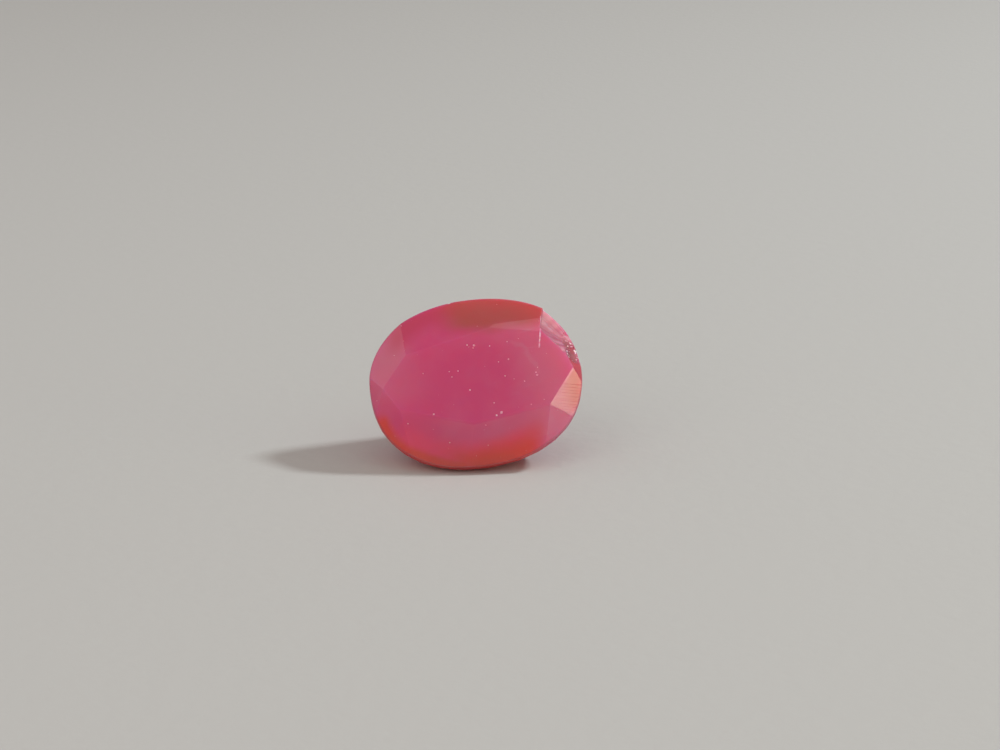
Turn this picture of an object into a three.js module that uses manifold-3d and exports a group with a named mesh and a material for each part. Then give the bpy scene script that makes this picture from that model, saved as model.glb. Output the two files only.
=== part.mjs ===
// Loose oval ruby gemstone, cut and polished, resting on one facet of its underside.
// Millimetres, +Z up. The stone is cut in its own axes: u along its length, v across it
// and w out of its table. w = 0 is the middle of the girdle, the thin band at its widest.
// It is then leaned back onto its resting facet.

import * as THREE from "three";
import Module from "manifold-3d";
import { mergeVertices } from "three/addons/utils/BufferGeometryUtils.js";

const wasm = await Module();
wasm.setup();

// Driving dimensions
const LENGTH = 10.0;
const WIDTH = 8.4;
const OUTLINE_POWER = 2.2; // 2 is an ellipse, more is a fuller cushion
const OUTLINE_STEPS = 132;
const TABLE_HEIGHT = 1.0;
const CULET_DEPTH = 4.25;
const GIRDLE_TOP = 0.12; // height at which a main crown facet meets the girdle
const GIRDLE_BOTTOM = -0.17;

// Pose on the surface
const TABLE_LEAN = 38; // degrees from the horizon up to the table's normal
const LENGTH_TURN = 10.7; // degrees that the stone's length is turned in the table's plane

// Corners of the table in the stone's own axes, anticlockwise seen from above it
const TABLE_CORNERS = {
  lowerLeft: [-3.8, -1.05],
  bottom: [-0.5, -2.3],
  lowerRight: [3.15, -2.05],
  right: [4.55, -0.45],
  upperRight: [4.2, 0.8],
  top: [1.05, 2.25],
  upperLeft: [-3.05, 1.6],
  left: [-4.4, 0.15],
};

// Crown facets that start at a corner of the table. Azimuth is counted from +u towards
// +v, tilt up from the girdle's plane.
const CORNER_FACETS = [
  { corner: "lowerRight", azimuth: -47.5, tilt: 40 },
  { corner: "lowerLeft", azimuth: -149, tilt: 41 },
  { corner: "right", azimuth: -6, tilt: 54 },
  { corner: "left", azimuth: 183, tilt: 52 },
];

// The two facets above the table's upper right edge: a shallow star facet and its main
const STAR_FACET = { azimuth: 75, tilt: 12, reach: 2.45 };
const UPPER_MAIN = { azimuth: 83, tilt: 27, reach: 2.46 };

// The old break at the upper right: a shallow hollow that spreads from a knock on the
// girdle, with ridges that fan out from there, and that stops at a straight crack.
const BREAK = { azimuth: 42, tilt: 36, reach: 3.32 };
const KNOCK = [4.97, 0.75];
const BREAK_RADIUS = 3.2;
const BREAK_HOLLOW = 9; // radius of the hollow's curve
const BREAK_RINGS = 12;
const RIDGE_COUNT = 22; // round a full turn, most of which lies outside the stone
const RIDGE_STEPS = 6;
const RIDGE_HEIGHT = 0.06;
const RIDGE_UNEVEN = 0.4; // share by which a ridge can be lower
const RIDGE_BEAT = 2.4; // radians from one ridge's unevenness to the next
const RIDGE_CURL = 0.12; // radians that a ridge bends for each millimetre
const CRACK_POINT = [3.4, 1.75];
const CRACK_AZIMUTH = -13;
const CRACK_TILT = 78;

// The crack's open end, a groove across the table's corner
const GROOVE_FROM = [3.42, 1.7];
const GROOVE_TO = [3.19, 0.82];
const GROOVE_WIDTH = 0.07;

// Small damage, each a ball's dent. Azimuth of the outline, distance inside it, height,
// tilt of the dent's direction, the ball's radius and the dent's depth.
const CHIPS = [
  { azimuth: 16, inset: 0.34, height: 0.6, tilt: 52, radius: 1.3, depth: 0.17 },
  { azimuth: 5, inset: 0.3, height: 0.56, tilt: 54, radius: 0.9, depth: 0.15 },
  { azimuth: 11, inset: 0.32, height: 0.5, tilt: 60, radius: 0.3, depth: 0.13 },
  { azimuth: 19, inset: 0.5, height: 0.62, tilt: 55, radius: 0.25, depth: 0.08 },
  { azimuth: 4, inset: 0.42, height: 0.6, tilt: 55, radius: 0.2, depth: 0.08 },
];
const NICKS = [
  { azimuth: -1, height: 0.22, radius: 0.16, depth: 0.07 },
  { azimuth: 93, height: 0.1, radius: 0.14, depth: 0.05 },
  { azimuth: 70, height: -0.3, radius: 0.2, depth: 0.07 },
  { azimuth: 128, height: -0.3, radius: 0.18, depth: 0.07 },
  { azimuth: 172, height: 0.1, radius: 0.15, depth: 0.06 },
  { azimuth: 215, height: -0.15, radius: 0.14, depth: 0.05 },
  { azimuth: -131, height: 0.05, radius: 0.14, depth: 0.05 },
  { azimuth: -58, height: 0.0, radius: 0.16, depth: 0.05 },
  { azimuth: -22, height: -0.12, radius: 0.14, depth: 0.05 },
];
const PITS = [
  { place: [0.82, -2.05], radius: 0.12 },
  { place: [0.2, 1.49], radius: 0.09 },
  { place: [2.84, -0.52], radius: 0.07 },
];
const PIT_DEPTH = 0.05;
const BALL_DETAIL = 2; // times that a dent's ball is refined

// Underside
const PAVILION_SIDES = 10;
const REST_TILT = 90 - TABLE_LEAN;
const REST_AZIMUTH = -90 - LENGTH_TURN;
const BELLY = 0.2; // how far the underside's main facets stand out past the girdle's edge
const MAIN_TILT_STEP = 1.5; // the mains are cut alternately this much steeper and flatter
const BELLY_TILT = 66;
const BELLY_FACETS = 3; // small facets under the girdle, for each main
const KEEL_TILT = 30;
const KEEL_DEPTH = 3.55; // where the flatter facets near the culet begin
const KEEL_REACH = 1.8;

const HALF_LENGTH = LENGTH / 2;
const HALF_WIDTH = WIDTH / 2;
const CUTTER = 30; // edge of the block that stands for a grinding plane
const MERGE_DISTANCE = 1e-6;

const radians = THREE.MathUtils.degToRad;

// Distance from the stone's axis to the outline's tangent in one direction
function outlineReach(azimuth) {
  const dual = OUTLINE_POWER / (OUTLINE_POWER - 1);
  const along = HALF_LENGTH * Math.abs(Math.cos(azimuth));
  const across = HALF_WIDTH * Math.abs(Math.sin(azimuth));
  return (along ** dual + across ** dual) ** (1 / dual);
}

// Point of the outline whose tangent faces one direction
function outlinePoint(azimuth) {
  const dual = OUTLINE_POWER / (OUTLINE_POWER - 1);
  const reach = outlineReach(azimuth);
  const c = Math.cos(azimuth);
  const s = Math.sin(azimuth);
  const u = Math.sign(c) * HALF_LENGTH ** dual * Math.abs(c) ** (dual - 1);
  const v = Math.sign(s) * HALF_WIDTH ** dual * Math.abs(s) ** (dual - 1);
  return new THREE.Vector2(u, v).multiplyScalar(reach ** (1 - dual));
}

function solidOf(geometry) {
  const bare = geometry.clone();
  bare.deleteAttribute("normal");
  bare.deleteAttribute("uv");
  const merged = mergeVertices(bare, MERGE_DISTANCE);
  const mesh = new wasm.Mesh({
    numProp: 3,
    vertProperties: Float32Array.from(merged.attributes.position.array),
    triVerts: Uint32Array.from(merged.index.array),
  });
  return new wasm.Manifold(mesh);
}

function geometryOf(solid) {
  const mesh = solid.getMesh();
  const geometry = new THREE.BufferGeometry();
  geometry.setAttribute("position", new THREE.BufferAttribute(new Float32Array(mesh.vertProperties), 3));
  geometry.setIndex(new THREE.BufferAttribute(new Uint32Array(mesh.triVerts), 1));
  return geometry;
}

// The block of stone beyond a plane, given by its outward normal and its distance
function beyondPlane(normal, distance) {
  const block = new THREE.BoxGeometry(CUTTER, CUTTER, CUTTER);
  const turn = new THREE.Quaternion().setFromUnitVectors(new THREE.Vector3(0, 0, 1), normal);
  block.applyQuaternion(turn);
  block.translate(...normal.clone().multiplyScalar(distance + CUTTER / 2).toArray());
  return solidOf(block);
}

// A facet's outward normal. side is 1 on the crown and -1 on the underside. In radians.
function facetNormal(azimuth, tilt, side = 1) {
  const lie = Math.sin(tilt);
  return new THREE.Vector3(lie * Math.cos(azimuth), lie * Math.sin(azimuth), side * Math.cos(tilt));
}

// A facet whose trace at height w lies at distance reach from the axis
function grind(stone, azimuth, tilt, reach, w, side) {
  const normal = facetNormal(azimuth, tilt, side);
  return stone.subtract(beyondPlane(normal, Math.sin(tilt) * reach + normal.z * w));
}

// The uncut blank: the girdle's outline, flat at the table and at the culet
function blank() {
  const points = [];
  for (let step = 0; step < OUTLINE_STEPS; step += 1) {
    points.push(outlinePoint((2 * Math.PI * step) / OUTLINE_STEPS));
  }
  const depth = TABLE_HEIGHT + CULET_DEPTH;
  const body = new THREE.ExtrudeGeometry(new THREE.Shape(points), { depth, bevelEnabled: false });
  body.translate(0, 0, -CULET_DEPTH);
  return solidOf(body);
}

// A crown facet along one edge of the table, down to the girdle
function grindTableEdge(stone, from, to) {
  const start = new THREE.Vector2(...TABLE_CORNERS[from]);
  const edge = new THREE.Vector2(...TABLE_CORNERS[to]).sub(start);
  const azimuth = Math.atan2(-edge.x, edge.y);
  const reach = start.x * Math.cos(azimuth) + start.y * Math.sin(azimuth);
  const tilt = Math.atan2(TABLE_HEIGHT - GIRDLE_TOP, outlineReach(azimuth) - reach);
  return grind(stone, azimuth, tilt, reach, TABLE_HEIGHT, 1);
}

function cutCrown(stone) {
  const corners = Object.keys(TABLE_CORNERS);
  let cut = stone;
  corners.forEach((corner, index) => {
    const next = corners[(index + 1) % corners.length];
    if (corner !== "upperRight") {
      cut = grindTableEdge(cut, corner, next);
    }
  });
  for (const { corner, azimuth, tilt } of CORNER_FACETS) {
    const turn = radians(azimuth);
    const [u, v] = TABLE_CORNERS[corner];
    cut = grind(cut, turn, radians(tilt), u * Math.cos(turn) + v * Math.sin(turn), TABLE_HEIGHT, 1);
  }
  for (const { azimuth, tilt, reach } of [STAR_FACET, UPPER_MAIN]) {
    cut = grind(cut, radians(azimuth), radians(tilt), reach, TABLE_HEIGHT, 1);
  }
  return cut;
}

// Direction of the outline's normal at a step of the ellipse's own angle, so that facets
// spaced evenly by it are as wide at the ends as along the sides
function azimuthAt(step) {
  const rest = radians(REST_AZIMUTH);
  const first = Math.atan2(HALF_WIDTH * Math.sin(rest), HALF_LENGTH * Math.cos(rest));
  const angle = first + (2 * Math.PI * step) / PAVILION_SIDES;
  return Math.atan2(HALF_LENGTH * Math.sin(angle), HALF_WIDTH * Math.cos(angle));
}

function cutPavilion(stone) {
  let cut = stone;
  for (let side = 0; side < PAVILION_SIDES; side += 1) {
    const main = azimuthAt(side);
    const uneven = side === 0 ? 0 : MAIN_TILT_STEP * (side % 2 === 0 ? -1 : 1);
    cut = grind(cut, main, radians(REST_TILT + uneven), outlineReach(main) + BELLY, GIRDLE_BOTTOM, -1);
    for (let share = 1; share < 2 * BELLY_FACETS; share += 2) {
      const belly = azimuthAt(side + share / (2 * BELLY_FACETS));
      cut = grind(cut, belly, radians(BELLY_TILT), outlineReach(belly), GIRDLE_BOTTOM, -1);
    }
    const keel = azimuthAt(side + 0.5);
    const keelReach = (KEEL_REACH * outlineReach(keel)) / HALF_WIDTH;
    cut = grind(cut, keel, radians(KEEL_TILT), keelReach, -KEEL_DEPTH, -1);
  }
  return cut;
}

// Lean the stone back onto its resting facet, and set it down with its box centred on Z
function rest(geometry) {
  geometry.rotateZ(radians(LENGTH_TURN));
  geometry.rotateX(radians(90 - TABLE_LEAN));
  geometry.computeBoundingBox();
  const centre = geometry.boundingBox.getCenter(new THREE.Vector3());
  geometry.translate(-centre.x, -centre.y, -geometry.boundingBox.min.z);
  return geometry;
}

// How far a ridge stands above the hollow's floor at distance r from the knock. Ridges
// rise slowly on one side, drop on the other, and are of uneven height.
function ridgeHeight(step, r) {
  const ridge = Math.floor(step / RIDGE_STEPS);
  const slope = (step - ridge * RIDGE_STEPS) / (RIDGE_STEPS - 1);
  const uneven = 1 - RIDGE_UNEVEN * (1 + Math.sin(RIDGE_BEAT * ridge)) / 2;
  return RIDGE_HEIGHT * uneven * slope * Math.min(r, 1);
}

// A closed bowl opening along +Y. Its floor starts at the origin and rises all round.
function ridgedBowl() {
  const profile = [];
  for (let ring = 0; ring <= BREAK_RINGS; ring += 1) {
    profile.push(new THREE.Vector2((BREAK_RADIUS * ring) / BREAK_RINGS, 0));
  }
  profile.push(new THREE.Vector2(BREAK_RADIUS, BREAK_RADIUS), new THREE.Vector2(0, BREAK_RADIUS));
  const steps = RIDGE_COUNT * RIDGE_STEPS;
  const bowl = new THREE.LatheGeometry(profile, steps);
  const position = bowl.attributes.position;
  for (let index = 0; index < position.count; index += 1) {
    const r = Math.hypot(position.getX(index), position.getZ(index));
    if (position.getY(index) === 0) {
      const angle = Math.atan2(position.getZ(index), position.getX(index));
      const step = (Math.round((angle / (2 * Math.PI)) * steps) + steps) % steps;
      const curled = angle + RIDGE_CURL * r;
      const y = (r * r) / (2 * BREAK_HOLLOW) + ridgeHeight(step, r);
      position.setXYZ(index, r * Math.cos(curled), y, r * Math.sin(curled));
    }
  }
  return bowl;
}

function breakUpperRight(stone) {
  const azimuth = radians(BREAK.azimuth);
  const normal = facetNormal(azimuth, radians(BREAK.tilt));
  const onTable = new THREE.Vector3(BREAK.reach * Math.cos(azimuth), BREAK.reach * Math.sin(azimuth), TABLE_HEIGHT);
  const knock = new THREE.Vector3(...KNOCK, 0);
  knock.addScaledVector(normal, onTable.sub(knock).dot(normal));
  const bowl = ridgedBowl();
  bowl.applyQuaternion(new THREE.Quaternion().setFromUnitVectors(new THREE.Vector3(0, 1, 0), normal));
  bowl.translate(...knock.toArray());
  const crack = facetNormal(radians(CRACK_AZIMUTH), radians(CRACK_TILT));
  const crackReach = crack.dot(new THREE.Vector3(...CRACK_POINT, TABLE_HEIGHT));
  const hollow = solidOf(bowl).subtract(beyondPlane(crack.clone().negate(), -crackReach));
  return stone.subtract(hollow);
}

// Dent the surface at a place with a ball that comes in along a direction
function dent(stone, place, direction, radius, depth) {
  const ball = new THREE.IcosahedronGeometry(radius, BALL_DETAIL);
  ball.translate(...place.addScaledVector(direction, radius - depth).toArray());
  return stone.subtract(solidOf(ball));
}

function wear(stone) {
  let worn = stone;
  for (const { azimuth, inset = 0, height, tilt = 90, radius, depth } of [...CHIPS, ...NICKS]) {
    const rim = outlinePoint(radians(azimuth));
    rim.setLength(rim.length() - inset);
    const direction = facetNormal(radians(azimuth), radians(tilt));
    worn = dent(worn, new THREE.Vector3(rim.x, rim.y, height), direction, radius, depth);
  }
  const up = new THREE.Vector3(0, 0, 1);
  for (const { place, radius } of PITS) {
    worn = dent(worn, new THREE.Vector3(...place, TABLE_HEIGHT), up, radius, PIT_DEPTH);
  }
  return worn;
}

// A groove along the crack, cut by the edge of a square bar
function grooveCrack(stone) {
  const start = new THREE.Vector3(...GROOVE_FROM, TABLE_HEIGHT);
  const end = new THREE.Vector3(...GROOVE_TO, TABLE_HEIGHT);
  const bar = new THREE.BoxGeometry(start.distanceTo(end), GROOVE_WIDTH, GROOVE_WIDTH);
  bar.rotateX(radians(45));
  bar.rotateZ(Math.atan2(end.y - start.y, end.x - start.x));
  bar.translate(...start.lerp(end, 0.5).toArray());
  return stone.subtract(solidOf(bar));
}

function makeStone() {
  let stone = blank();
  stone = cutCrown(stone);
  stone = cutPavilion(stone);
  stone = breakUpperRight(stone);
  stone = grooveCrack(stone);
  stone = wear(stone);
  const material = new THREE.MeshStandardMaterial({ color: 0xb24a6c, roughness: 0.2, metalness: 0 });
  const mesh = new THREE.Mesh(rest(geometryOf(stone)), material);
  mesh.name = "ruby";
  return mesh;
}

const gemstone = new THREE.Group();
gemstone.name = "oval_ruby_gemstone";
gemstone.add(makeStone());

export default gemstone;
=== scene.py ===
"""Looks of the oval ruby gemstone: its finished surface, colour zones with painted light in them, painted
glints, wear and a small studio.
"""

import math

import bmesh
import bpy
import numpy as np
from mathutils import Matrix, Vector, noise


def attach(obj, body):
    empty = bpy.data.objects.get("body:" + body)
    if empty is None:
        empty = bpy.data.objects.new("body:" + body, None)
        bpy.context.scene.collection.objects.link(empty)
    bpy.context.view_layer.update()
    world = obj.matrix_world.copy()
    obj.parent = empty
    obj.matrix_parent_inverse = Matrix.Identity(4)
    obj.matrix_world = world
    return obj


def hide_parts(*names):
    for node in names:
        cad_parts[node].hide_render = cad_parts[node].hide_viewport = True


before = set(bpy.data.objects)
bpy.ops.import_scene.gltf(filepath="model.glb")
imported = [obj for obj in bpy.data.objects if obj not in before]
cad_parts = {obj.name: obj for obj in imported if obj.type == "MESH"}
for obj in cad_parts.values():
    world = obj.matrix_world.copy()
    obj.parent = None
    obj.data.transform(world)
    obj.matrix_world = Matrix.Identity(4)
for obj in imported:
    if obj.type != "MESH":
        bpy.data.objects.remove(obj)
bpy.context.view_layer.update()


def rgb(red, green, blue):
    """A colour as the nodes' sockets take it."""
    return (red, green, blue, 1.0)


MM = 0.001

# The photograph
IMAGE_WIDTH = 1000
IMAGE_HEIGHT = 750
STONE_PIXEL = (475.76, 382.83)  # where the middle of the girdle shows
PIXELS_PER_MM = 21.19  # at the stone
CAMERA_DISTANCE = 110 * MM
CAMERA_ELEVATION = 17
SENSOR = 36.0
CLIP_START = 1 * MM
CLIP_END = 10.0

# The stone's own axes: u along its length, v across it, w out of the table. Sizes are in
# millimetres from here on, and w = 0 lies in the girdle.
TABLE_LEAN = math.radians(38)
LENGTH_TURN = math.radians(10.7)
TABLE_HEIGHT = 1.0
HALF_LENGTH = 5.0
HALF_WIDTH = 4.2
OUTLINE_POWER = 2.2
UPRIGHT = Matrix.Rotation(math.radians(90) - TABLE_LEAN, 3, "X")
STONE_AXES = UPRIGHT @ Matrix.Rotation(LENGTH_TURN, 3, "Z")
TO_OWN = STONE_AXES.transposed()

# Facets
EDGE_WIDTH = 0.025  # the rounding of an edge between two facets
WELD = 0.004  # corners closer than this are one
FLAT_ANGLE = math.radians(0.4)  # faces that meet at less are one facet
SAME_FACET = 0.01  # how far a facet's corners may lie from its plane
UPWARD = 0.1  # the least w of a crown facet's normal
SMOOTH_FACET = math.radians(4)
SMOOTH_BREAK = math.radians(32)
SLIVER = 0.00003  # shorter edges are dropped after the cuts

# The break: a hollow that spreads from a knock on the girdle and stops at a straight crack
BREAK_AZIMUTH = 42
BREAK_TILT = 36
BREAK_REACH = 3.32
KNOCK = (4.97, 0.75)
BREAK_RADIUS = 3.2
BREAK_HOLLOW = 9.0  # radius of the hollow's curve
BREAK_RINGS = 44
BREAK_STEPS = 360
RIDGE_HEIGHT = 0.05
RIDGE_RATE = 3.4  # ridges for each radian
RIDGE_CURL = 0.14  # radians that a ridge bends for each millimetre
RIDGE_CHANGE = 0.3  # how fast a ridge changes away from the knock
RIDGE_START = 1.2  # distance from the knock at which a ridge has its full height
SMALL_RIDGES = 3  # small ridges for each ridge
SMALL_RIDGE_SHARE = 0.18  # of the height
SMALL_RIDGE_CHANGE = 0.5
SMALL_RIDGE_START = 5  # keeps the small ridges' pattern apart from the large one
RIPPLE_HEIGHT = 0.003
RIPPLE_RATE = 13.0
RIPPLE_BEND = 2
CRACK_POINT = (3.4, 1.75)
CRACK_AZIMUTH = -13
CRACK_TILT = 78
CRACK_LINE = [(3.60, 2.42), (3.46, 1.80), (3.40, 1.62), (3.19, 0.82)]
CRACK_WIDTH = 0.045

# Dents: outline azimuth, inset, height, tilt, ball radius, depth. First the chipped rim, then
# its fine grains and last the nicks in the girdle.
CHIPS = [
    (16, 0.34, 0.60, 52, 1.30, 0.17),
    (5, 0.30, 0.56, 54, 0.90, 0.15),
    (11, 0.32, 0.50, 60, 0.30, 0.13),
    (19, 0.50, 0.62, 55, 0.25, 0.08),
    (4, 0.42, 0.60, 55, 0.20, 0.08),
    (14, 0.10, 0.30, 70, 0.16, 0.06),
    (8, 0.12, 0.34, 65, 0.14, 0.06),
    (22, 0.14, 0.26, 65, 0.16, 0.06),
    (1, 0.10, 0.30, 70, 0.12, 0.05),
    (-1, 0.0, 0.22, 90, 0.16, 0.07),
    (93, 0.0, 0.10, 90, 0.14, 0.05),
    (70, 0.0, -0.30, 90, 0.20, 0.07),
    (128, 0.0, -0.30, 90, 0.18, 0.07),
    (172, 0.0, 0.10, 90, 0.15, 0.06),
    (215, 0.0, -0.15, 90, 0.14, 0.05),
    (-131, 0.0, 0.05, 90, 0.14, 0.05),
    (-58, 0.0, 0.0, 90, 0.16, 0.05),
    (-22, 0.0, -0.12, 90, 0.14, 0.05),
]
LARGE_DENT = 0.5  # a ball radius
LARGE_DENT_DETAIL = 4  # times that a large dent's ball is refined
DENT_DETAIL = 2
DENT_ROUGHNESS = 0.16  # share of a dent's radius
ROUGH_RADIUS = 0.25  # a larger dent is no rougher than this one
DENT_GRAIN = 9

# Pits in the crown: u, v, ball radius
PITS = [
    (0.82, -2.05, 0.11),
    (0.58, -2.14, 0.055),
    (0.20, 1.49, 0.075),
    (0.13, 1.37, 0.045),
    (-0.12, 1.57, 0.032),
    (0.91, 1.33, 0.032),
    (2.84, -0.52, 0.06),
    (2.80, -0.38, 0.04),
    (2.19, -0.71, 0.038),
    (1.66, 0.51, 0.038),
    (1.34, -0.29, 0.028),
    (0.58, -1.52, 0.036),
    (-0.40, -0.68, 0.05),
    (-0.78, 0.36, 0.034),
    (-1.11, 0.12, 0.028),
    (-2.41, 0.54, 0.028),
    (-2.28, -1.55, 0.042),
    (0.00, -2.50, 0.036),
    (2.27, -1.91, 0.032),
]
PIT_DEPTH = 0.025

# Grooves left by polishing on the facet at the right, level in the photo but for a small slant
GROOVED_FACET = (-41, 39)  # azimuth and tilt
GROOVE_STEPS = (-0.60, -0.45, -0.31, -0.18, -0.03, 0.10, 0.19, 0.34, 0.47, 0.60, 0.70)
GROOVE_SPAN = 2.4
GROOVE_WIDTH = 0.015
GROOVE_SLANT = math.radians(-5)

# The stone's colours
MAGENTA = rgb(0.635, 0.040, 0.190)
RIM_RED = rgb(0.550, 0.036, 0.125)
# Painted light: a brighter pink for the lower rim, which faces down, in place of light from below
LOW_RIM_PAINTED_LIGHT = rgb(0.840, 0.040, 0.140)
# Orange reds, partly the stone's own colour and partly painted light shining through from behind
TOP_RED_AND_PAINTED_BACKLIGHT = rgb(0.450, 0.070, 0.070)
LOW_RED_AND_PAINTED_BACKLIGHT = rgb(0.740, 0.042, 0.024)
DARK_RED = rgb(0.220, 0.030, 0.050)
# Milky haze, also painted as reflection at the left end and under the lower facets
HAZE_AND_REFLECTION = rgb(0.620, 0.145, 0.270)
# Orange red, partly painted light shining through from behind
END_RED_AND_PAINTED_BACKLIGHT = rgb(0.480, 0.070, 0.075)
BROKEN = rgb(0.380, 0.055, 0.125)
# Pale milky streaks, partly painted highlights on the break's ridges
PALE_STREAK_AND_HIGHLIGHT = rgb(0.430, 0.175, 0.245)
# Painted highlights on the walls of the pits and the crack
PIT_PAINTED_HIGHLIGHT = rgb(0.820, 0.280, 0.420)
# Pale specks: partly dust, partly painted glints
SPECK_AND_GLINT = rgb(0.960, 0.720, 0.800)

# Colour zones. Each line holds a measure of the place, where the zone begins and where it is full.
UPPER_ZONE = [("share", 0.62, 0.95), ("v", 1.0, 2.6), ("u", -4.3, -2.9)]
# Where the lower rim gets its painted light
LOW_RIM_LIGHT_ZONE = [("share", 0.62, 0.95), ("v", -1.2, -2.8), ("u", 2.4, 1.0)]
# The next four zones are orange red, partly painted light shining through from behind
END_ZONE = [("u", 3.5, 4.7), ("v", 0.6, 0.0), ("v", -2.6, -1.8), ("w", 0.98, 0.90)]
TOP_ZONE = [("cloudy v", 1.9, 3.0), ("u", -1.9, 0.3)]
LOW_ZONE = [("cloudy share", 0.68, 0.95), ("v", -1.6, -3.2), ("u", -3.0, -0.4), ("u", 3.2, 1.5)]
LEFT_ZONE = [("cloudy share", 0.86, 0.97), ("v", -0.6, -1.4), ("u", 0.0, -1.5)]
CHIPPED_ZONE = [("u", 4.3, 4.7), ("v", -0.3, 0.2), ("v", 2.2, 1.4)]
GRAINY_ZONE = [("u", 4.25, 4.5), ("v", 1.5, 0.9)]
DARK_GIRDLE = (0.985, 0.995, 0.6)  # where it begins and is full, and how much of it there is
END_SHARE = 0.75
DARK_SHARE = 0.8
CLOUD_SWING = 0.9  # millimetres that the clouds move a zone's edge, from end to end
SHARE_SWING = 0.2  # the same in shares of the outline, for each of those millimetres
TOP_SLANT = 0.12

# Milky haze and painted reflection: their zones, and how much of it each one has
RIGHT_HAZE = [("slanted u", 0.4, 3.6)]
RIGHT_HAZE_SHARE = 0.65
RIGHT_SLANT = 0.25
# Painted reflection at the left end
LEFT_PAINTED_REFLECTION = [("u", -1.0, -4.6), ("v", -1.8, 0.2)]
LEFT_PAINTED_REFLECTION_SHARE = 0.5
CLOUD_HAZE = [("cloud", 0.35, 0.75)]
CLOUD_HAZE_SHARE = 0.25
# Painted reflection under the lower facets
LOW_PAINTED_REFLECTION = [("w", 0.99, 0.93), ("v", -1.0, -2.0), ("u", -4.0, 0.5)]
LOW_PAINTED_REFLECTION_SHARE = 0.4
FEATHER_TURN = 40
FEATHER_STRETCH = 6.0
FEATHER_LIMITS = (0.56, 0.68)
FEATHER_SHARE = 0.45

# A faint feather under the table: part of a circle
ARC_CENTRE = (0.9, -0.3)
ARC_RADIUS = 1.96
ARC_WIDTH = 0.2
ARC_WANDER = 0.6
ARC_ZONE = [("u", 1.7, 2.1), ("v", -0.7, -0.2)]
ARC_SHARE = 0.3

# Noise: rate, detail and distortion
CLOUDS = (0.42, 3.0, 0.3)
FEATHERS = (1.9, 5.0, 0.5)
WANDER = (1.8, 3.0)
SMEARS = (1.4, 3.0, 0.8)
FINE = (9.0, 4.0)
STREAKS = (1.0, 3.0, 0.3)
# Painted sparkles on the granular rim of the break
GRAIN_GLINTS = (7.5, 1.0)
# Mottling of the painted highlight in the pits and the crack
PIT_HIGHLIGHT_MOTTLE = (6.0, 2.0)
PIT_RELIEF_NOISE = (12.0, 3.0)

# Surface
RUBY_IOR = 1.76
SCATTER = (1.0, 0.13, 0.26)
SCATTER_DEPTH = 6.0
RELIEF_HEIGHT = 0.01
RELIEF = 0.12
PIT_RELIEF = 0.5
POLISH_ROUGHNESS = 0.09
SMEAR_ROUGHNESS = 0.10
DULL_GIRDLE = (0.988, 0.996, 0.35)  # where it begins and is full, and its roughness
# Pale specks in the crown, partly dust and partly painted glints
SPECK_RATE = 1.7  # specks along a millimetre
SPECK_SIZE = 0.025
SPECK_FALL = 6.0  # the larger, the more of them are tiny
SPECK_SHARE = 0.8
SPECK_LIMIT = 0.98  # share of the way to the outline
BREAK_ROUGHNESS = 0.42
BREAK_UNEVENNESS = 0.1
GRAIN_ROUGHNESS = 0.2
BREAK_SHARE = 0.7
# Milky streaks on the break, partly painted highlights on the ridges
STREAK_RATE = 9.0  # for each radian round the knock
STREAK_CHANGE = 0.6
STREAK_LIMITS = (0.47, 0.62)
GRAINY_SHARE = 0.7
# Where the painted sparkles on the granular rim show
GRAIN_GLINT_LIMITS = (0.62, 0.66)
# The pits and the crack, whose pale colour is a painted highlight
PIT_ROUGHNESS = 0.35
PIT_HIGHLIGHT_LIMITS = (0.40, 0.60)

# Floor
FLOOR_SIZE = 2000
PAPER = rgb(0.61, 0.61, 0.60)
PAPER_ROUGHNESS = 0.9
PAPER_GRAIN = (1.2 / MM, 6.0)
PAPER_RELIEF = 0.35
PAPER_RELIEF_HEIGHT = 0.1

# Light. The room is brighter on the camera's side.
WARM = (1.0, 0.91, 0.85)
COOL = (0.93, 1.0, 1.0)
YELLOW = (1.0, 0.98, 0.62)
WHITE = (1.0, 1.0, 1.0)
ROOM_LIGHT = 0.43
ROOM_SLOPE = 0.15
ROOM_AZIMUTH = -110


def stone_origin():
    """The middle of the girdle in the row frame, from the CAD solid's reach along its own axes."""
    own = np.array([TO_OWN @ vertex.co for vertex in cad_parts["ruby"].data.vertices])
    low, high = own.min(axis=0), own.max(axis=0)
    middle = ((low[0] + high[0]) / 2, (low[1] + high[1]) / 2, high[2] - TABLE_HEIGHT * MM)
    return STONE_AXES @ Vector(middle)


ORIGIN = stone_origin()
PLACE = Matrix.Translation(ORIGIN) @ STONE_AXES.to_4x4() @ Matrix.Scale(MM, 4)  # own mm to metres


def direction(azimuth, elevation):
    """Unit vector towards an azimuth, in degrees from the first axis, and an elevation."""
    a, e = math.radians(azimuth), math.radians(elevation)
    return Vector((math.cos(e) * math.cos(a), math.cos(e) * math.sin(a), math.sin(e)))


def facet_normal(azimuth, tilt):
    return direction(azimuth, 90 - tilt)


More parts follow.
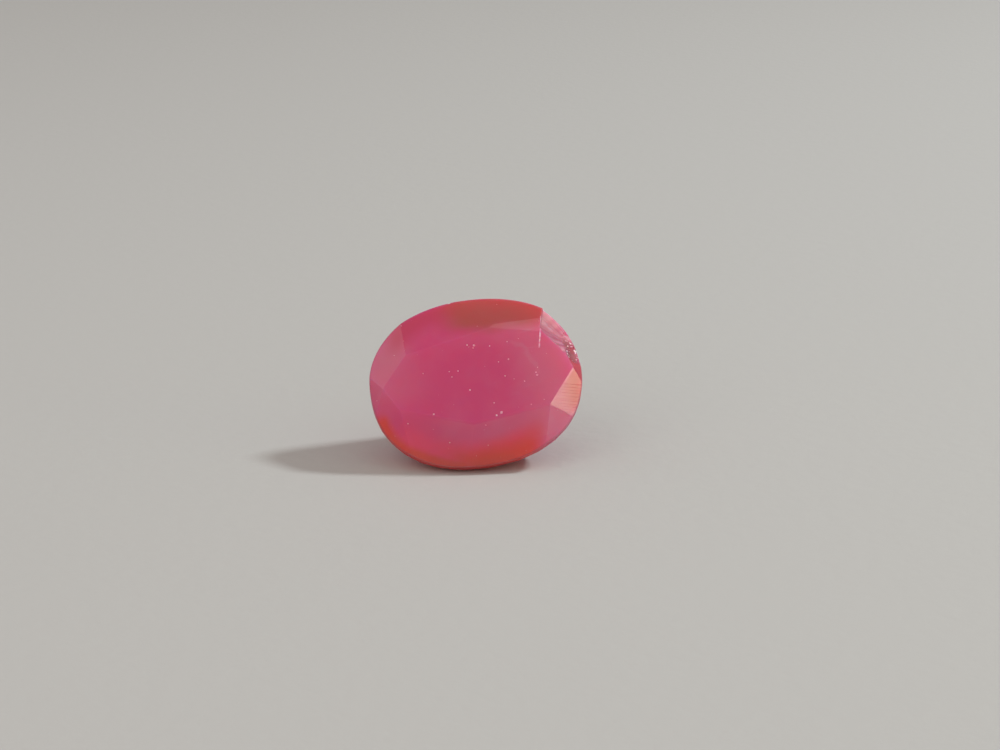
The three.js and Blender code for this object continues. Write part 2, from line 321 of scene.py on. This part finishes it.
# Node helpers
class Nodes:
    """Adds nodes to one tree and links them."""

    def __init__(self, tree):
        self.tree = tree
        tree.nodes.clear()

    def add(self, kind, **settings):
        node = self.tree.nodes.new(kind)
        for name, value in settings.items():
            setattr(node, name, value)
        return node

    def link(self, source, target):
        self.tree.links.new(source, target)

    def feed(self, value, socket):
        if isinstance(value, bpy.types.NodeSocket):
            self.link(value, socket)
        else:
            socket.default_value = value

    def math(self, operation, a, b=0.0, c=0.0, clamp=False):
        node = self.add("ShaderNodeMath", operation=operation, use_clamp=clamp)
        for value, socket in zip((a, b, c), node.inputs):
            self.feed(value, socket)
        return node.outputs[0]

    def mix(self, share, a, b):
        node = self.add("ShaderNodeMix", data_type="RGBA")
        sockets = (node.inputs[0], node.inputs[6], node.inputs[7])  # share, then the two colours
        for value, socket in zip((share, a, b), sockets):
            self.feed(value, socket)
        return node.outputs[2]

    def ramp(self, value, low, high, top=1.0):
        """0 at low and top at high, smooth between them and steady beyond them."""
        node = self.add("ShaderNodeMapRange", interpolation_type="SMOOTHERSTEP")
        self.feed(value, node.inputs["Value"])
        node.inputs["From Min"].default_value = low
        node.inputs["From Max"].default_value = high
        node.inputs["To Max"].default_value = top
        return node.outputs[0]

    def product(self, *factors):
        result = factors[0]
        for factor in factors[1:]:
            result = self.math("MULTIPLY", result, factor)
        return result

    def zone(self, at, limits):
        """1 inside a zone and 0 outside it."""
        return self.product(*(self.ramp(at[measure], begins, full) for measure, begins, full in limits))

    def noise(self, place, rate, detail, distortion=0.0):
        node = self.add("ShaderNodeTexNoise")
        self.link(place, node.inputs["Vector"])
        node.inputs["Scale"].default_value = rate
        node.inputs["Detail"].default_value = detail
        node.inputs["Distortion"].default_value = distortion
        return node.outputs["Fac"]

    def stretched(self, place, turn, stretch):
        """The place turned about w, then pressed along the new first axis by stretch."""
        node = self.add("ShaderNodeMapping")
        self.link(place, node.inputs["Vector"])
        node.inputs["Rotation"].default_value = (0, 0, math.radians(turn))
        node.inputs["Scale"].default_value = (1 / stretch, 1, 1)
        return node.outputs["Vector"]

    def specks(self, place):
        """Small round specks, as seen along w, most of them tiny."""
        node = self.add("ShaderNodeTexVoronoi", voronoi_dimensions="2D")
        self.link(place, node.inputs["Vector"])
        node.inputs["Scale"].default_value = SPECK_RATE
        split = self.add("ShaderNodeSeparateColor")
        self.link(node.outputs["Color"], split.inputs[0])
        chance = self.math("POWER", split.outputs[0], SPECK_FALL)
        reach = self.math("MULTIPLY", chance, SPECK_SIZE * SPECK_RATE)
        return self.math("LESS_THAN", node.outputs["Distance"], reach)

    def polar(self, at, centre):
        """Distance from a centre, and the angle round it."""
        across = self.math("SUBTRACT", at["u"], centre[0])
        up = self.math("SUBTRACT", at["v"], centre[1])
        squares = self.math("MULTIPLY_ADD", across, across, self.math("MULTIPLY", up, up))
        return self.math("SQRT", squares), self.math("ARCTAN2", up, across)


def new_material(name):
    material = bpy.data.materials.new(name)
    material.use_nodes = True
    return material, Nodes(material.node_tree)


# The stone's materials
def own_place(nodes):
    """The surface point in the stone's own axes, in millimetres."""
    coordinates = nodes.add("ShaderNodeTexCoord")
    mapping = nodes.add("ShaderNodeMapping")
    nodes.link(coordinates.outputs["Object"], mapping.inputs["Vector"])
    mapping.inputs["Scale"].default_value = (1 / MM,) * 3
    mapping.inputs["Rotation"].default_value = TO_OWN.to_euler()
    mapping.inputs["Location"].default_value = TO_OWN @ ORIGIN / -MM
    return mapping.outputs["Vector"]


def outline_share(nodes, u, v):
    """1 at the girdle's outline and 0 on the stone's axis."""
    powers = []
    for value, half in ((u, HALF_LENGTH), (v, HALF_WIDTH)):
        share = nodes.math("ABSOLUTE", nodes.math("DIVIDE", value, half))
        powers.append(nodes.math("POWER", share, OUTLINE_POWER))
    return nodes.math("POWER", nodes.math("ADD", *powers), 1 / OUTLINE_POWER)


def measures(nodes, place):
    """What the zones go by: u, v, w, the share of the way to the outline, soft clouds, and some
    of these slanted or made uneven by the clouds."""
    split = nodes.add("ShaderNodeSeparateXYZ")
    nodes.link(place, split.inputs[0])
    u, v, w = split.outputs
    share = outline_share(nodes, u, v)
    cloud = nodes.noise(place, *CLOUDS)
    uneven = nodes.math("MULTIPLY_ADD", cloud, CLOUD_SWING, -CLOUD_SWING / 2)
    slanted_v = nodes.math("MULTIPLY_ADD", u, TOP_SLANT, v)
    return {
        "u": u,
        "v": v,
        "w": w,
        "share": share,
        "cloud": cloud,
        "cloudy share": nodes.math("MULTIPLY_ADD", uneven, SHARE_SWING, share),
        "cloudy v": nodes.math("ADD", slanted_v, uneven),
        "slanted u": nodes.math("MULTIPLY_ADD", v, RIGHT_SLANT, u),
    }


def red_zones(nodes, colour, at):
    """Deeper red along the upper rim, painted light in brighter pink along the lower rim, and orange red,
    partly painted light shining through from behind, at the top, along the lower rim, at the lower left
    and at the right end; dark red at the chipped rim and along the girdle."""
    end = nodes.math("MULTIPLY", nodes.zone(at, END_ZONE), END_SHARE)
    low = nodes.math("MAXIMUM", nodes.zone(at, LOW_ZONE), nodes.zone(at, LEFT_ZONE))
    dark = nodes.math("MAXIMUM", nodes.zone(at, CHIPPED_ZONE), nodes.ramp(at["share"], *DARK_GIRDLE))
    colour = nodes.mix(nodes.zone(at, UPPER_ZONE), colour, RIM_RED)
    # Painted light on the lower rim
    colour = nodes.mix(nodes.zone(at, LOW_RIM_LIGHT_ZONE), colour, LOW_RIM_PAINTED_LIGHT)
    # Orange reds, partly painted light shining through from behind
    colour = nodes.mix(end, colour, END_RED_AND_PAINTED_BACKLIGHT)
    colour = nodes.mix(nodes.zone(at, TOP_ZONE), colour, TOP_RED_AND_PAINTED_BACKLIGHT)
    colour = nodes.mix(low, colour, LOW_RED_AND_PAINTED_BACKLIGHT)
    return nodes.mix(nodes.math("MULTIPLY", dark, DARK_SHARE), colour, DARK_RED)


def feathers(nodes, place):
    """Thin slanting feathers."""
    pattern = nodes.noise(nodes.stretched(place, FEATHER_TURN, FEATHER_STRETCH), *FEATHERS)
    return nodes.ramp(pattern, *FEATHER_LIMITS)


def arc_feather(nodes, place, at):
    distance, _ = nodes.polar(at, ARC_CENTRE)
    inside = nodes.math("SUBTRACT", distance, ARC_RADIUS + ARC_WANDER / 2)
    distance = nodes.math("MULTIPLY_ADD", nodes.noise(place, *WANDER), ARC_WANDER, inside)
    arc = nodes.ramp(nodes.math("ABSOLUTE", distance), ARC_WIDTH, 0.0)
    return nodes.math("MULTIPLY", arc, nodes.zone(at, ARC_ZONE))


def haze_and_reflection_share(nodes, place, at):
    """Milky haze: soft clouds, thicker towards the right end, with feathers at the right. The lighter
    haze at the left end and under the lower facets is painted reflection."""
    right = nodes.zone(at, RIGHT_HAZE)
    kinds = [
        (right, RIGHT_HAZE_SHARE),
        # Painted reflection at the left end
        (nodes.zone(at, LEFT_PAINTED_REFLECTION), LEFT_PAINTED_REFLECTION_SHARE),
        (nodes.zone(at, CLOUD_HAZE), CLOUD_HAZE_SHARE),
        # Painted reflection under the lower facets
        (nodes.zone(at, LOW_PAINTED_REFLECTION), LOW_PAINTED_REFLECTION_SHARE),
        (arc_feather(nodes, place, at), ARC_SHARE),
        (nodes.math("MULTIPLY", feathers(nodes, place), right), FEATHER_SHARE),
    ]
    haze = 0.0
    for kind, share in kinds:
        haze = nodes.math("MULTIPLY_ADD", kind, share, haze, clamp=True)
    return haze


def body_colour(nodes, place, at):
    """The colour under the surface, with painted reflection and painted light in it."""
    colour = nodes.mix(haze_and_reflection_share(nodes, place, at), MAGENTA, HAZE_AND_REFLECTION)
    return red_zones(nodes, colour, at)


def ruby_shader(nodes, colour, roughness, height, strength):
    """Milky ruby: light scatters deep inside it, the red least absorbed."""
    bump = nodes.add("ShaderNodeBump")
    bump.inputs["Strength"].default_value = strength
    bump.inputs["Distance"].default_value = RELIEF_HEIGHT * MM
    nodes.link(height, bump.inputs["Height"])
    shader = nodes.add("ShaderNodeBsdfPrincipled")
    nodes.feed(colour, shader.inputs["Base Color"])
    nodes.feed(roughness, shader.inputs["Roughness"])
    nodes.link(bump.outputs[0], shader.inputs["Normal"])
    shader.inputs["IOR"].default_value = RUBY_IOR
    shader.inputs["Subsurface Weight"].default_value = 1.0
    shader.inputs["Subsurface Radius"].default_value = SCATTER
    shader.inputs["Subsurface Scale"].default_value = SCATTER_DEPTH * MM
    output = nodes.add("ShaderNodeOutputMaterial")
    nodes.link(shader.outputs[0], output.inputs["Surface"])


def polished_ruby():
    """Glossy but smeared, with pale specks in the crown (partly dust, partly painted glints) and a dull
    girdle.
    """
    material, nodes = new_material("ruby_polished")
    place = own_place(nodes)
    at = measures(nodes, place)
    above = nodes.math("GREATER_THAN", at["w"], 0.0)
    inside = nodes.math("LESS_THAN", at["share"], SPECK_LIMIT)
    # Pale specks, partly dust and partly painted glints
    specks = nodes.product(nodes.specks(place), above, inside, SPECK_SHARE)
    colour = nodes.mix(specks, body_colour(nodes, place, at), SPECK_AND_GLINT)
    smears = nodes.math("MULTIPLY_ADD", nodes.noise(place, *SMEARS), SMEAR_ROUGHNESS, POLISH_ROUGHNESS)
    roughness = nodes.math("ADD", smears, nodes.ramp(at["share"], *DULL_GIRDLE))
    ruby_shader(nodes, colour, roughness, nodes.noise(place, *FINE), RELIEF)
    return material


def broken_ruby():
    """Dull and paler, with milky streaks that fan out from the knock, partly painted ridge highlights,
    and a granular rim with painted sparkles.
    """
    material, nodes = new_material("ruby_broken")
    place = own_place(nodes)
    at = measures(nodes, place)
    distance, angle = nodes.polar(at, KNOCK)
    fan = nodes.add("ShaderNodeCombineXYZ")
    nodes.link(nodes.math("MULTIPLY", angle, STREAK_RATE), fan.inputs[0])
    nodes.link(nodes.math("MULTIPLY", distance, STREAK_CHANGE), fan.inputs[1])
    # Milky streaks, partly painted highlights on the ridges
    streaks = nodes.ramp(nodes.noise(fan.outputs[0], *STREAKS), *STREAK_LIMITS)
    streaked = nodes.mix(streaks, BROKEN, PALE_STREAK_AND_HIGHLIGHT)
    colour = nodes.mix(BREAK_SHARE, body_colour(nodes, place, at), streaked)
    grainy = nodes.zone(at, GRAINY_ZONE)
    colour = nodes.mix(nodes.math("MULTIPLY", grainy, GRAINY_SHARE), colour, DARK_RED)
    # Painted sparkles on the granular rim
    grains = nodes.ramp(nodes.noise(place, *GRAIN_GLINTS), *GRAIN_GLINT_LIMITS)
    colour = nodes.mix(nodes.math("MULTIPLY", grainy, grains), colour, SPECK_AND_GLINT)
    fine = nodes.noise(place, *FINE)
    roughness = nodes.math("MULTIPLY_ADD", fine, BREAK_UNEVENNESS, BREAK_ROUGHNESS)
    roughness = nodes.math("MULTIPLY_ADD", grainy, GRAIN_ROUGHNESS, roughness)
    ruby_shader(nodes, colour, roughness, fine, RELIEF)
    return material


def pit_highlight_ruby():
    """The walls of the pits and the crack, pale as painted highlights."""
    material, nodes = new_material("ruby_pit_highlight")
    place = own_place(nodes)
    # Painted highlight, mottled
    highlight_mottle = nodes.ramp(nodes.noise(place, *PIT_HIGHLIGHT_MOTTLE), *PIT_HIGHLIGHT_LIMITS)
    colour = nodes.mix(highlight_mottle, PIT_PAINTED_HIGHLIGHT, SPECK_AND_GLINT)
    ruby_shader(nodes, colour, PIT_ROUGHNESS, nodes.noise(place, *PIT_RELIEF_NOISE), PIT_RELIEF)
    return material


# The stone's surface
def object_of(name, surface, *materials):
    mesh = bpy.data.meshes.new(name)
    surface.to_mesh(mesh)
    surface.free()
    for material in materials:
        mesh.materials.append(material)
    made = bpy.data.objects.new(name, mesh)
    bpy.context.scene.collection.objects.link(made)
    return made


def polished_body():
    """The CAD solid's convex form: its facets made whole again, as before the wear."""
    surface = bmesh.new()
    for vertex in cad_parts["ruby"].data.vertices:
        surface.verts.new(TO_OWN @ (vertex.co - ORIGIN) / MM)
    hull = bmesh.ops.convex_hull(surface, input=surface.verts)
    spare = {item for item in hull["geom_interior"] if isinstance(item, bmesh.types.BMVert)}
    bmesh.ops.delete(surface, geom=list(spare), context="VERTS")
    bmesh.ops.remove_doubles(surface, verts=surface.verts, dist=WELD)
    bmesh.ops.dissolve_limit(surface, angle_limit=FLAT_ANGLE, verts=surface.verts, edges=surface.edges)
    return surface


def round_edges(surface):
    sharp = [edge for edge in surface.edges if edge.calc_face_angle(0.0) > SMOOTH_FACET]
    bmesh.ops.bevel(
        surface,
        geom=sharp,
        offset=EDGE_WIDTH,
        offset_type="OFFSET",
        segments=2,
        profile=0.5,
        affect="EDGES",
        clamp_overlap=True,
    )


def ridge_height(angle, radius):
    """Uneven rounded ridges that fan out from the knock, with faint ripples round it."""
    along = angle + RIDGE_CURL * radius
    ring = Vector((math.cos(along), math.sin(along), 0)) * RIDGE_RATE
    broad = noise.noise(ring + Vector((0, 0, radius * RIDGE_CHANGE)))
    drift = Vector((0, 0, SMALL_RIDGE_START + radius * SMALL_RIDGE_CHANGE))
    small = noise.noise(ring * SMALL_RIDGES + drift)
    ripple = math.sin(RIPPLE_RATE * radius + RIPPLE_BEND * broad) * RIPPLE_HEIGHT
    ridge = RIDGE_HEIGHT * (broad + SMALL_RIDGE_SHARE * small)
    return min(radius / RIDGE_START, 1.0) * (ridge + ripple)


def break_cutter():
    """The hollow as a closed form in its own axes: z out of the stone, the knock at the origin."""
    surface = bmesh.new()
    rings = []
    for ring in range(1, BREAK_RINGS + 1):
        radius = BREAK_RADIUS * ring / BREAK_RINGS
        corners = []
        for step in range(BREAK_STEPS):
            angle = 2 * math.pi * step / BREAK_STEPS
            depth = radius**2 / (2 * BREAK_HOLLOW) + ridge_height(angle, radius)
            corners.append(surface.verts.new((radius * math.cos(angle), radius * math.sin(angle), depth)))
        rings.append(corners)
    rings.append([surface.verts.new((v.co.x, v.co.y, BREAK_RADIUS)) for v in rings[-1]])
    foot = surface.verts.new((0, 0, 0))
    for step in range(BREAK_STEPS):
        after = (step + 1) % BREAK_STEPS
        surface.faces.new((foot, rings[0][after], rings[0][step]))
        for inner, outer in zip(rings, rings[1:]):
            surface.faces.new((inner[step], inner[after], outer[after], outer[step]))
    surface.faces.new(rings[-1])
    bmesh.ops.recalc_face_normals(surface, faces=surface.faces)
    return surface


def place_break(surface):
    """Set the hollow in the stone and end it at the crack."""
    normal = facet_normal(BREAK_AZIMUTH, BREAK_TILT)
    azimuth = math.radians(BREAK_AZIMUTH)
    on_table = Vector((BREAK_REACH * math.cos(azimuth), BREAK_REACH * math.sin(azimuth), TABLE_HEIGHT))
    knock = Vector((*KNOCK, 0))
    knock += normal * (on_table - knock).dot(normal)
    surface.transform(Matrix.Translation(knock) @ normal.to_track_quat("Z", "Y").to_matrix().to_4x4())
    cut = bmesh.ops.bisect_plane(
        surface,
        geom=[*surface.verts, *surface.edges, *surface.faces],
        plane_co=(*CRACK_POINT, TABLE_HEIGHT),
        plane_no=facet_normal(CRACK_AZIMUTH, CRACK_TILT),
        clear_inner=True,
    )
    rim = [item for item in cut["geom_cut"] if isinstance(item, bmesh.types.BMEdge)]
    bmesh.ops.edgeloop_fill(surface, edges=rim)
    return surface


def outline_point(azimuth):
    """Point of the outline whose tangent faces one direction."""
    dual = OUTLINE_POWER / (OUTLINE_POWER - 1)
    c, s = math.cos(math.radians(azimuth)), math.sin(math.radians(azimuth))
    reach = (abs(HALF_LENGTH * c) ** dual + abs(HALF_WIDTH * s) ** dual) ** (1 / dual)
    u = math.copysign(HALF_LENGTH**dual * abs(c) ** (dual - 1), c)
    v = math.copysign(HALF_WIDTH**dual * abs(s) ** (dual - 1), s)
    return Vector((u, v)) * reach ** (1 - dual)


def add_dent(surface, place, towards, radius, depth):
    """A ball with an uneven surface that dents the stone at a place."""
    centre = place + towards * (radius - depth)
    detail = LARGE_DENT_DETAIL if radius > LARGE_DENT else DENT_DETAIL
    ball = bmesh.ops.create_icosphere(surface, subdivisions=detail, radius=radius)["verts"]
    for vertex in ball:
        pattern = noise.noise(vertex.co * DENT_GRAIN + centre)
        shift = pattern * DENT_ROUGHNESS * min(radius, ROUGH_RADIUS)
        vertex.co = centre + vertex.co * (1 + shift / radius)


def bar(surface, start, end, width, flat):
    """A square bar between two points, edge down on a surface whose normal is flat."""
    along = (end - start).normalized()
    side = along.cross(flat)
    ends = []
    for point in (start, end):
        corners = [side, flat, -side, -flat]
        ends.append([surface.verts.new(point + corner * width * math.sqrt(0.5)) for corner in corners])
    for corner in range(4):
        after = (corner + 1) % 4
        surface.faces.new((ends[0][corner], ends[0][after], ends[1][after], ends[1][corner]))
    surface.faces.new(ends[0][::-1])
    surface.faces.new(ends[1])


def camera_up():
    """What is up in the photo, turned by the grooves' slant, in the stone's own axes."""
    up = direction(90, 90 - CAMERA_ELEVATION)
    back = direction(-90, CAMERA_ELEVATION)
    return TO_OWN @ (Matrix.Rotation(GROOVE_SLANT, 3, back) @ up)


def groove_cutter(body):
    """Fine straight grooves on one facet, each level in the photo but for the slant."""
    surface = bmesh.new()
    normal = facet_normal(*GROOVED_FACET)
    top = max(vertex.co.dot(normal) for vertex in body.verts)
    corners = [vertex.co for vertex in body.verts if vertex.co.dot(normal) > top - SAME_FACET]
    middle = sum(corners, Vector()) / len(corners)
    along = normal.cross(camera_up()).normalized()
    down = normal.cross(along)
    half = along * GROOVE_SPAN / 2
    for step in GROOVE_STEPS:
        centre = middle + down * step
        bar(surface, centre - half, centre + half, GROOVE_WIDTH, normal)
    bmesh.ops.recalc_face_normals(surface, faces=surface.faces)
    return surface


def crown_point(body, u, v):
    """The point of the crown above a place in the girdle's plane."""
    reach = TABLE_HEIGHT
    for face in body.faces:
        normal = face.normal
        if normal.z > UPWARD:
            height = face.verts[0].co.dot(normal) - normal.x * u - normal.y * v
            reach = min(reach, height / normal.z)
    return Vector((u, v, reach))


def chip_cutter():
    """The chipped rim and the nicks."""
    surface = bmesh.new()
    for azimuth, inset, height, tilt, radius, depth in CHIPS:
        rim = outline_point(azimuth)
        rim *= 1 - inset / rim.length
        add_dent(surface, Vector((*rim, height)), facet_normal(azimuth, tilt), radius, depth)
    bmesh.ops.recalc_face_normals(surface, faces=surface.faces)
    return surface


def pit_cutter(body):
    """The pits and the open crack."""
    surface = bmesh.new()
    up = Vector((0, 0, 1))
    for u, v, radius in PITS:
        add_dent(surface, crown_point(body, u, v), up, radius, PIT_DEPTH)
    line = [crown_point(body, u, v) for u, v in CRACK_LINE]
    for start, end in zip(line, line[1:]):
        bar(surface, start, end, CRACK_WIDTH, up)
    bmesh.ops.recalc_face_normals(surface, faces=surface.faces)
    return surface


def cut_away(body, cutter, overlaps=False):
    """Take the cutter's form out of the body and drop the cutter. Its own parts may overlap."""
    modifier = body.modifiers.new("cut", "BOOLEAN")
    modifier.operation = "DIFFERENCE"
    modifier.solver = "EXACT"
    modifier.use_self = overlaps
    modifier.material_mode = "TRANSFER"
    modifier.object = cutter
    bpy.context.view_layer.objects.active = body
    bpy.ops.object.modifier_apply(modifier=modifier.name)
    bpy.data.objects.remove(cutter)


def clean_and_shade(mesh):
    """Drop the slivers that the cuts left. Facets stay flat, the girdle and the break's own
    curves are smooth."""
    surface = bmesh.new()
    surface.from_mesh(mesh)
    bmesh.ops.dissolve_degenerate(surface, edges=surface.edges, dist=SLIVER)
    for face in surface.faces:
        face.smooth = True
    for edge in surface.edges:
        broken = all(face.material_index > 0 for face in edge.link_faces)
        limit = SMOOTH_BREAK if broken else SMOOTH_FACET
        mixed = len({face.material_index for face in edge.link_faces}) > 1
        edge.smooth = not mixed and edge.calc_face_angle(0.0) < limit
    surface.to_mesh(mesh)
    surface.free()


def dressed_stone():
    surface = polished_body()
    pits, grooves = pit_cutter(surface), groove_cutter(surface)
    round_edges(surface)
    polished, broken = polished_ruby(), broken_ruby()
    stone = object_of("ruby_stone", surface, polished)
    cut_away(stone, object_of("grooves", grooves, polished))
    cut_away(stone, object_of("break", place_break(break_cutter()), broken))
    cut_away(stone, object_of("chips", chip_cutter(), broken), overlaps=True)
    # The pits and the crack take the painted highlight
    cut_away(stone, object_of("pits", pits, pit_highlight_ruby()), overlaps=True)
    clean_and_shade(stone.data)
    stone.data.transform(PLACE)
    return stone


stone = dressed_stone()
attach(stone, "root")
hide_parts("ruby")


# Floor
def paper_material():
    material, nodes = new_material("paper")
    coordinates = nodes.add("ShaderNodeTexCoord")
    bump = nodes.add("ShaderNodeBump")
    bump.inputs["Strength"].default_value = PAPER_RELIEF
    bump.inputs["Distance"].default_value = PAPER_RELIEF_HEIGHT * MM
    nodes.link(nodes.noise(coordinates.outputs["Object"], *PAPER_GRAIN), bump.inputs["Height"])
    shader = nodes.add("ShaderNodeBsdfPrincipled")
    shader.inputs["Base Color"].default_value = PAPER
    shader.inputs["Roughness"].default_value = PAPER_ROUGHNESS
    nodes.link(bump.outputs[0], shader.inputs["Normal"])
    output = nodes.add("ShaderNodeOutputMaterial")
    nodes.link(shader.outputs[0], output.inputs["Surface"])
    return material


bpy.ops.mesh.primitive_plane_add(size=FLOOR_SIZE * MM)
floor = bpy.context.object
floor.name = "floor"
floor.data.materials.append(paper_material())


# Light
def panel(name, towards, distance, size, radiance, colour=WHITE, shape="RECTANGLE", spread=180):
    """A soft panel that faces the stone, seen from it in one direction. Its radiance along its
    axis is the same whatever its spread."""
    data = bpy.data.lights.new(name, "AREA")
    data.shape = shape
    data.size = size[0] * MM
    data.size_y = size[1] * MM
    area = data.size * data.size_y
    if shape == "ELLIPSE":
        area *= math.pi / 4
    data.spread = math.radians(spread)
    half = data.spread / 2
    data.energy = radiance * math.pi * area * (1 - half / math.tan(half))
    data.color = colour
    lamp = bpy.data.objects.new(name, data)
    lamp.location = ORIGIN + towards.normalized() * distance * MM
    lamp.rotation_euler = towards.to_track_quat("Z", "Y").to_euler()
    lamp.visible_camera = False
    bpy.context.scene.collection.objects.link(lamp)


panel("key", direction(15, 42), 400, (58, 58), radiance=92.0, colour=COOL, shape="ELLIPSE")
panel("fill", direction(-125, 35), 200, (160, 160), radiance=0.7, colour=WARM)
panel("right_strip", direction(-22, 5.5), 120, (52, 20), radiance=3.1, colour=YELLOW, spread=70)
panel("left_back", Vector((-0.63, 0.27, 0.73)), 150, (42, 42), radiance=0.4)
panel("overhead", Vector((0.05, -0.10, 0.99)), 150, (42, 42), radiance=0.5)


def room_light():
    world = bpy.data.worlds.new("room")
    world.use_nodes = True
    nodes = Nodes(world.node_tree)
    towards = nodes.add("ShaderNodeVectorMath", operation="DOT_PRODUCT")
    nodes.link(nodes.add("ShaderNodeTexCoord").outputs["Generated"], towards.inputs[0])
    towards.inputs[1].default_value = direction(ROOM_AZIMUTH, 0)
    background = nodes.add("ShaderNodeBackground")
    brightness = nodes.math("MULTIPLY_ADD", towards.outputs["Value"], ROOM_SLOPE, ROOM_LIGHT)
    nodes.link(brightness, background.inputs["Strength"])
    background.inputs["Color"].default_value = rgb(*WARM)
    nodes.link(background.outputs[0], nodes.add("ShaderNodeOutputWorld").inputs["Surface"])
    bpy.context.scene.world = world


room_light()
bpy.context.scene.view_settings.view_transform = "Standard"


# Camera
def photo_camera():
    data = bpy.data.cameras.new("camera")
    data.sensor_width = SENSOR
    data.lens = SENSOR * PIXELS_PER_MM * (CAMERA_DISTANCE / MM) / IMAGE_WIDTH
    data.shift_x = (IMAGE_WIDTH / 2 - STONE_PIXEL[0]) / IMAGE_WIDTH
    data.shift_y = (STONE_PIXEL[1] - IMAGE_HEIGHT / 2) / IMAGE_WIDTH
    data.clip_start = CLIP_START
    data.clip_end = CLIP_END
    camera = bpy.data.objects.new("camera", data)
    back = direction(-90, CAMERA_ELEVATION)
    camera.location = ORIGIN + back * CAMERA_DISTANCE
    camera.rotation_euler = back.to_track_quat("Z", "Y").to_euler()
    bpy.context.scene.collection.objects.link(camera)
    bpy.context.scene.camera = camera


photo_camera()

bpy.context.view_layer.update()
